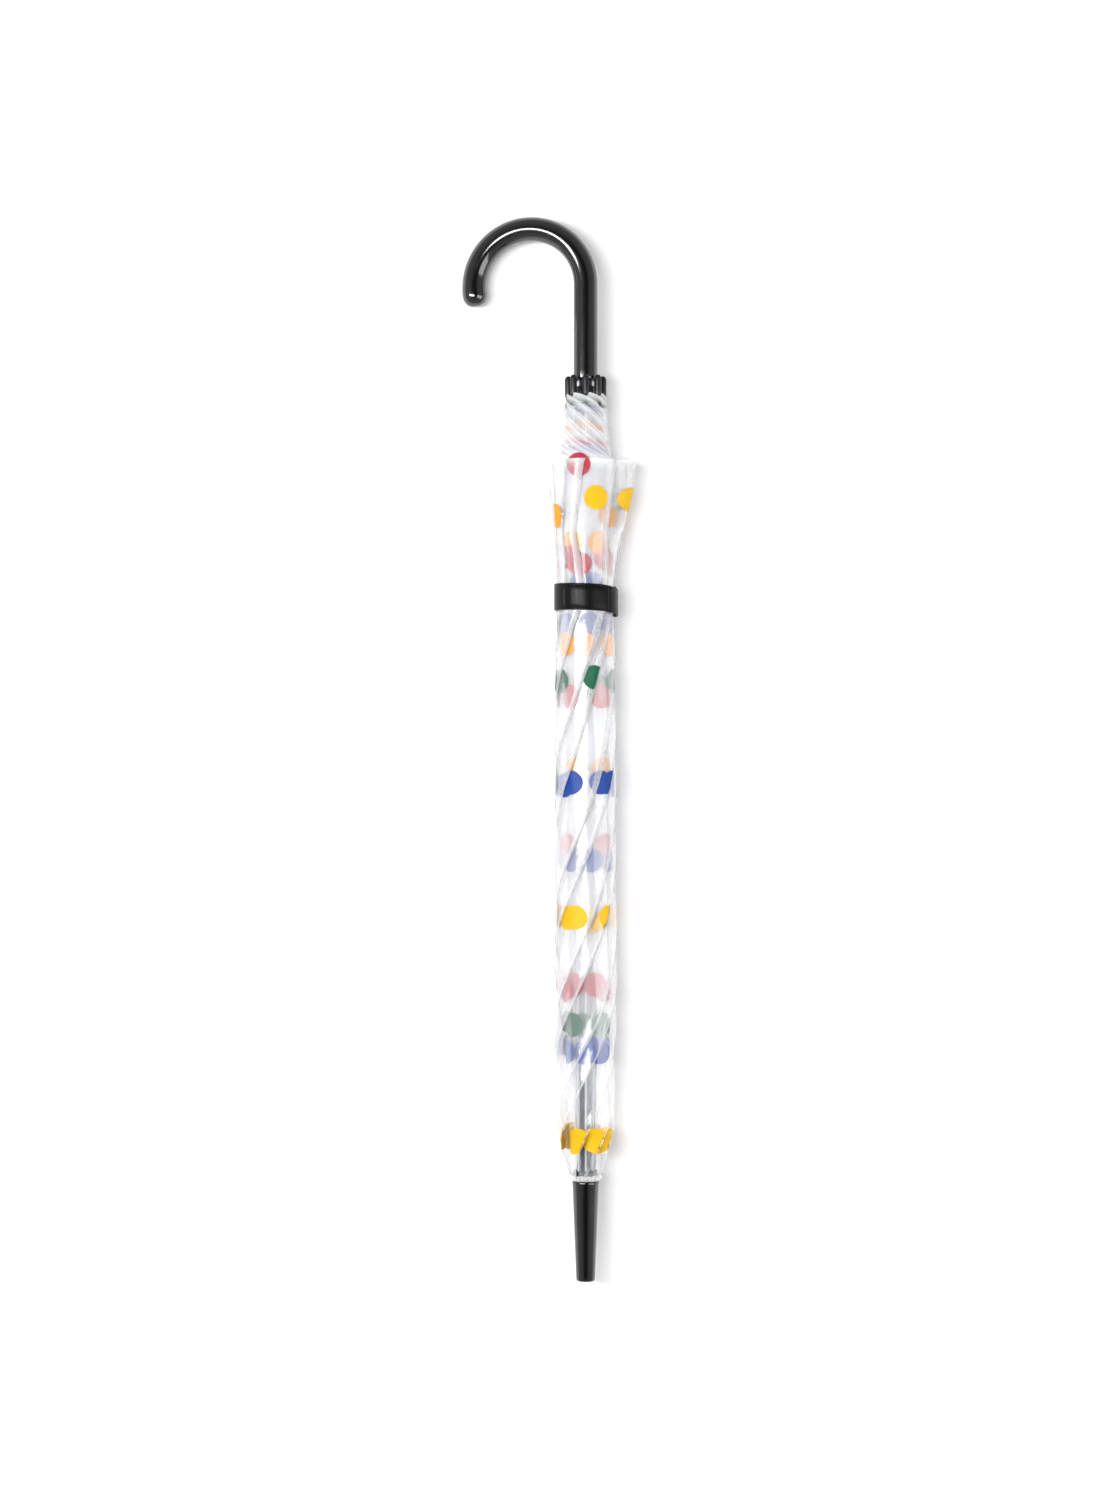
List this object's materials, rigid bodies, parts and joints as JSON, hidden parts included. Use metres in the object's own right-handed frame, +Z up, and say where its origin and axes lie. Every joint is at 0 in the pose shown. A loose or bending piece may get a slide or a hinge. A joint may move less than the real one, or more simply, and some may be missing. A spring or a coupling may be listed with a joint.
{
  "type": "dome umbrella",
  "caption": "Closed clear dome umbrella with printed dots, crook handle, strap and ferrule; ribs, stretchers and runner open into a dome.",
  "frame": {"origin": "middle of the bounding box on the floor that the umbrella lies on", "axes": "+Y along the shaft towards the handle, +Z up from the floor, the hook points towards -X"},
  "size_m": [0.1211, 0.8204, 0.0491],
  "materials": {
    "gloss_black": "polished black moulded plastic",
    "satin_black": "satin black moulded plastic",
    "shaft_steel": "dark blue-grey coated tube",
    "rib_steel": "pale coated ribs",
    "bright_steel": "bright spring wire",
    "snap_metal": "plated snap",
    "strap_vinyl": "glossy black vinyl",
    "clear_film": "clear, slightly milky film with dots printed in yellow, orange, red, blue and green"
  },
  "bodies": {
    "shaft": {"shaft_tube": "shaft_steel", "ferrule": "satin_black", "crown": "satin_black", "rib_wire": "bright_steel", "handle": "gloss_black", "canopy_gore_1": "clear_film", "canopy_gore_2": "clear_film", "canopy_gore_3": "clear_film", "canopy_gore_4": "clear_film", "canopy_gore_5": "clear_film", "canopy_gore_6": "clear_film", "canopy_gore_7": "clear_film", "canopy_gore_8": "clear_film"},
    "runner": {"runner": "satin_black", "stretcher_wire": "bright_steel"},
    "closed_catch": {"closed_catch": "bright_steel"},
    "open_catch": {"open_catch": "bright_steel"},
    "rib_inner_1": {"rib_inner_1": "rib_steel"},
    "rib_outer_1": {"rib_outer_1": "rib_steel", "tip_cap_1": "gloss_black"},
    "stretcher_1": {"stretcher_1": "rib_steel"},
    "rib_inner_2": {"rib_inner_2": "rib_steel"},
    "rib_outer_2": {"rib_outer_2": "rib_steel", "tip_cap_2": "gloss_black"},
    "stretcher_2": {"stretcher_2": "rib_steel"},
    "rib_inner_3": {"rib_inner_3": "rib_steel"},
    "rib_outer_3": {"rib_outer_3": "rib_steel", "tip_cap_3": "gloss_black", "strap_band": "strap_vinyl"},
    "stretcher_3": {"stretcher_3": "rib_steel"},
    "rib_inner_4": {"rib_inner_4": "rib_steel"},
    "rib_outer_4": {"rib_outer_4": "rib_steel", "tip_cap_4": "gloss_black"},
    "stretcher_4": {"stretcher_4": "rib_steel"},
    "rib_inner_5": {"rib_inner_5": "rib_steel"},
    "rib_outer_5": {"rib_outer_5": "rib_steel", "tip_cap_5": "gloss_black"},
    "stretcher_5": {"stretcher_5": "rib_steel"},
    "rib_inner_6": {"rib_inner_6": "rib_steel"},
    "rib_outer_6": {"rib_outer_6": "rib_steel", "tip_cap_6": "gloss_black"},
    "stretcher_6": {"stretcher_6": "rib_steel"},
    "rib_inner_7": {"rib_inner_7": "rib_steel"},
    "rib_outer_7": {"rib_outer_7": "rib_steel", "tip_cap_7": "gloss_black"},
    "stretcher_7": {"stretcher_7": "rib_steel"},
    "rib_inner_8": {"rib_inner_8": "rib_steel"},
    "rib_outer_8": {"rib_outer_8": "rib_steel", "tip_cap_8": "gloss_black"},
    "stretcher_8": {"stretcher_8": "rib_steel"},
    "canopy_swing_inner": {"canopy_pleat_1": "clear_film"},
    "canopy_spread_inner": {"canopy_pleat_2": "clear_film"},
    "canopy_swing_outer": {"canopy_pleat_3": "clear_film"},
    "canopy_spread_outer": {"canopy_pleat_4": "clear_film"},
    "strap_flap": {"strap_flap": "strap_vinyl"},
    "strap_tail": {"strap_tail": "strap_vinyl", "snap_cap": "snap_metal"}
  },
  "joints": [
    {"name": "runner_slide", "type": "slide", "parent": "shaft", "child": "runner", "axis": [0, -1, 0], "range_m": [0, 0.37392], "deforming": ["canopy_gore_1", "canopy_gore_2", "canopy_gore_3", "canopy_gore_4", "canopy_gore_5", "canopy_gore_6", "canopy_gore_7", "canopy_gore_8", "canopy_pleat_1", "canopy_pleat_2", "canopy_pleat_3", "canopy_pleat_4", "strap_band", "strap_flap", "strap_tail", "snap_cap"]},
    {"name": "rib_1_swing", "type": "hinge", "parent": "shaft", "child": "rib_inner_1", "pos_m": [0.04188, -0.32777, 0.0245], "axis": [0, 0, -1], "range_deg": [0, 68.93]},
    {"name": "rib_1_flex", "type": "hinge", "parent": "rib_inner_1", "child": "rib_outer_1", "pos_m": [0.04589, -0.0303, 0.0245], "axis": [0, 0, -1], "range_deg": [-41.75, 0]},
    {"name": "stretcher_1_swing", "type": "hinge", "parent": "rib_inner_1", "child": "stretcher_1", "pos_m": [0.04308, -0.0358, 0.0245], "axis": [0, 0, -1], "range_deg": [-138.76, 0]},
    {"name": "rib_2_swing", "type": "hinge", "parent": "shaft", "child": "rib_inner_2", "pos_m": [0.03984, -0.32777, 0.02945], "axis": [0.7071, 0, -0.7071], "range_deg": [0, 68.93]},
    {"name": "rib_2_flex", "type": "hinge", "parent": "rib_inner_2", "child": "rib_outer_2", "pos_m": [0.04266, -0.0303, 0.03228], "axis": [0.7071, 0, -0.7071], "range_deg": [-41.75, 0]},
    {"name": "stretcher_2_swing", "type": "hinge", "parent": "rib_inner_2", "child": "stretcher_2", "pos_m": [0.04068, -0.0358, 0.0303], "axis": [0.7071, 0, -0.7071], "range_deg": [-138.76, 0]},
    {"name": "rib_3_swing", "type": "hinge", "parent": "shaft", "child": "rib_inner_3", "pos_m": [0.03488, -0.32777, 0.0315], "axis": [1, 0, 0], "range_deg": [0, 68.93]},
    {"name": "rib_3_flex", "type": "hinge", "parent": "rib_inner_3", "child": "rib_outer_3", "pos_m": [0.03488, -0.0303, 0.0355], "axis": [1, 0, 0], "range_deg": [-41.75, 0]},
    {"name": "stretcher_3_swing", "type": "hinge", "parent": "rib_inner_3", "child": "stretcher_3", "pos_m": [0.03488, -0.0358, 0.0327], "axis": [1, 0, 0], "range_deg": [-138.76, 0]},
    {"name": "rib_4_swing", "type": "hinge", "parent": "shaft", "child": "rib_inner_4", "pos_m": [0.02994, -0.32777, 0.02945], "axis": [0.7071, 0, 0.7071], "range_deg": [0, 68.93]},
    {"name": "rib_4_flex", "type": "hinge", "parent": "rib_inner_4", "child": "rib_outer_4", "pos_m": [0.02711, -0.0303, 0.03228], "axis": [0.7071, 0, 0.7071], "range_deg": [-41.75, 0]},
    {"name": "stretcher_4_swing", "type": "hinge", "parent": "rib_inner_4", "child": "stretcher_4", "pos_m": [0.02909, -0.0358, 0.0303], "axis": [0.7071, 0, 0.7071], "range_deg": [-138.76, 0]},
    {"name": "rib_5_swing", "type": "hinge", "parent": "shaft", "child": "rib_inner_5", "pos_m": [0.02789, -0.32777, 0.0245], "axis": [0, 0, 1], "range_deg": [0, 68.93]},
    {"name": "rib_5_flex", "type": "hinge", "parent": "rib_inner_5", "child": "rib_outer_5", "pos_m": [0.02388, -0.0303, 0.0245], "axis": [0, 0, 1], "range_deg": [-41.75, 0]},
    {"name": "stretcher_5_swing", "type": "hinge", "parent": "rib_inner_5", "child": "stretcher_5", "pos_m": [0.02669, -0.0358, 0.0245], "axis": [0, 0, 1], "range_deg": [-138.76, 0]},
    {"name": "rib_6_swing", "type": "hinge", "parent": "shaft", "child": "rib_inner_6", "pos_m": [0.02994, -0.32777, 0.01955], "axis": [-0.7071, 0, 0.7071], "range_deg": [0, 68.93]},
    {"name": "rib_6_flex", "type": "hinge", "parent": "rib_inner_6", "child": "rib_outer_6", "pos_m": [0.02711, -0.0303, 0.01672], "axis": [-0.7071, 0, 0.7071], "range_deg": [-41.75, 0]},
    {"name": "stretcher_6_swing", "type": "hinge", "parent": "rib_inner_6", "child": "stretcher_6", "pos_m": [0.02909, -0.0358, 0.0187], "axis": [-0.7071, 0, 0.7071], "range_deg": [-138.76, 0]},
    {"name": "rib_7_swing", "type": "hinge", "parent": "shaft", "child": "rib_inner_7", "pos_m": [0.03488, -0.32777, 0.0175], "axis": [-1, 0, 0], "range_deg": [0, 68.93]},
    {"name": "rib_7_flex", "type": "hinge", "parent": "rib_inner_7", "child": "rib_outer_7", "pos_m": [0.03488, -0.0303, 0.0135], "axis": [-1, 0, 0], "range_deg": [-41.75, 0]},
    {"name": "stretcher_7_swing", "type": "hinge", "parent": "rib_inner_7", "child": "stretcher_7", "pos_m": [0.03488, -0.0358, 0.0163], "axis": [-1, 0, 0], "range_deg": [-138.76, 0]},
    {"name": "rib_8_swing", "type": "hinge", "parent": "shaft", "child": "rib_inner_8", "pos_m": [0.03984, -0.32777, 0.01955], "axis": [-0.7071, 0, -0.7071], "range_deg": [0, 68.93]},
    {"name": "rib_8_flex", "type": "hinge", "parent": "rib_inner_8", "child": "rib_outer_8", "pos_m": [0.04266, -0.0303, 0.01672], "axis": [-0.7071, 0, -0.7071], "range_deg": [-41.75, 0]},
    {"name": "stretcher_8_swing", "type": "hinge", "parent": "rib_inner_8", "child": "stretcher_8", "pos_m": [0.04068, -0.0358, 0.0187], "axis": [-0.7071, 0, -0.7071], "range_deg": [-138.76, 0]},
    {"name": "canopy_inner_swing", "type": "hinge", "parent": "shaft", "child": "canopy_swing_inner", "pos_m": [0.03488, -0.33645, 0.02726], "axis": [-1, 0, 0], "range_deg": [0, 69.7]},
    {"name": "canopy_inner_spread", "type": "hinge", "parent": "canopy_swing_inner", "child": "canopy_spread_inner", "pos_m": [0.03488, -0.33256, 0.02971], "axis": [0, 0.3551, 0.9348], "range_deg": [0, 90.5]},
    {"name": "canopy_outer_swing", "type": "hinge", "parent": "shaft", "child": "canopy_swing_outer", "pos_m": [0.03488, -0.72014, 0.28237], "axis": [-1, 0, 0], "range_deg": [0, 28.1]},
    {"name": "canopy_outer_spread", "type": "hinge", "parent": "canopy_swing_outer", "child": "canopy_spread_outer", "pos_m": [0.03488, -0.25739, 0.23331], "axis": [0, 0.8862, 0.4633], "range_deg": [0, 90.5]},
    {"name": "closed_catch_press", "type": "hinge", "parent": "shaft", "child": "closed_catch", "pos_m": [0.0337, 0.21823, 0.02736], "axis": [-0.9239, 0, -0.3827], "range_deg": [0, 4.2], "stiffness_Nm_per_rad": 0.3, "springref_deg": -2.86},
    {"name": "open_catch_press", "type": "hinge", "parent": "shaft", "child": "open_catch", "pos_m": [0.0337, -0.06377, 0.02736], "axis": [0.9239, 0, 0.3827], "range_deg": [0, 4.2], "stiffness_Nm_per_rad": 0.3, "springref_deg": -2.86},
    {"name": "strap_peel", "type": "hinge", "parent": "rib_outer_3", "child": "strap_flap", "pos_m": [0.01881, 0.11522, 0.04235], "axis": [0, -1, 0], "range_deg": [0, 60]},
    {"name": "strap_tail_peel", "type": "hinge", "parent": "strap_flap", "child": "strap_tail", "pos_m": [0.05243, 0.11522, 0.04144], "axis": [0, -1, 0], "range_deg": [0, 60.5]}
  ],
  "couplings": [
    {"joint": "rib_1_swing", "follows": "runner_slide", "rad_per_m": 3.194},
    {"joint": "rib_1_flex", "follows": "runner_slide", "rad_per_m": -1.9255},
    {"joint": "stretcher_1_swing", "follows": "runner_slide", "rad_per_m": -6.4537},
    {"joint": "rib_2_swing", "follows": "runner_slide", "rad_per_m": 3.194},
    {"joint": "rib_2_flex", "follows": "runner_slide", "rad_per_m": -1.9255},
    {"joint": "stretcher_2_swing", "follows": "runner_slide", "rad_per_m": -6.4537},
    {"joint": "rib_3_swing", "follows": "runner_slide", "rad_per_m": 3.194},
    {"joint": "rib_3_flex", "follows": "runner_slide", "rad_per_m": -1.9255},
    {"joint": "stretcher_3_swing", "follows": "runner_slide", "rad_per_m": -6.4537},
    {"joint": "rib_4_swing", "follows": "runner_slide", "rad_per_m": 3.194},
    {"joint": "rib_4_flex", "follows": "runner_slide", "rad_per_m": -1.9255},
    {"joint": "stretcher_4_swing", "follows": "runner_slide", "rad_per_m": -6.4537},
    {"joint": "rib_5_swing", "follows": "runner_slide", "rad_per_m": 3.194},
    {"joint": "rib_5_flex", "follows": "runner_slide", "rad_per_m": -1.9255},
    {"joint": "stretcher_5_swing", "follows": "runner_slide", "rad_per_m": -6.4537},
    {"joint": "rib_6_swing", "follows": "runner_slide", "rad_per_m": 3.194},
    {"joint": "rib_6_flex", "follows": "runner_slide", "rad_per_m": -1.9255},
    {"joint": "stretcher_6_swing", "follows": "runner_slide", "rad_per_m": -6.4537},
    {"joint": "rib_7_swing", "follows": "runner_slide", "rad_per_m": 3.194},
    {"joint": "rib_7_flex", "follows": "runner_slide", "rad_per_m": -1.9255},
    {"joint": "stretcher_7_swing", "follows": "runner_slide", "rad_per_m": -6.4537},
    {"joint": "rib_8_swing", "follows": "runner_slide", "rad_per_m": 3.194},
    {"joint": "rib_8_flex", "follows": "runner_slide", "rad_per_m": -1.9255},
    {"joint": "stretcher_8_swing", "follows": "runner_slide", "rad_per_m": -6.4537},
    {"joint": "canopy_inner_swing", "follows": "runner_slide", "rad_per_m": 3.23},
    {"joint": "canopy_inner_spread", "follows": "runner_slide", "rad_per_m": 4.2008},
    {"joint": "canopy_outer_swing", "follows": "runner_slide", "rad_per_m": 1.2883},
    {"joint": "canopy_outer_spread", "follows": "runner_slide", "rad_per_m": 4.2008},
    {"joint": "strap_tail_peel", "follows": "strap_peel", "ratio": 1}
  ]
}
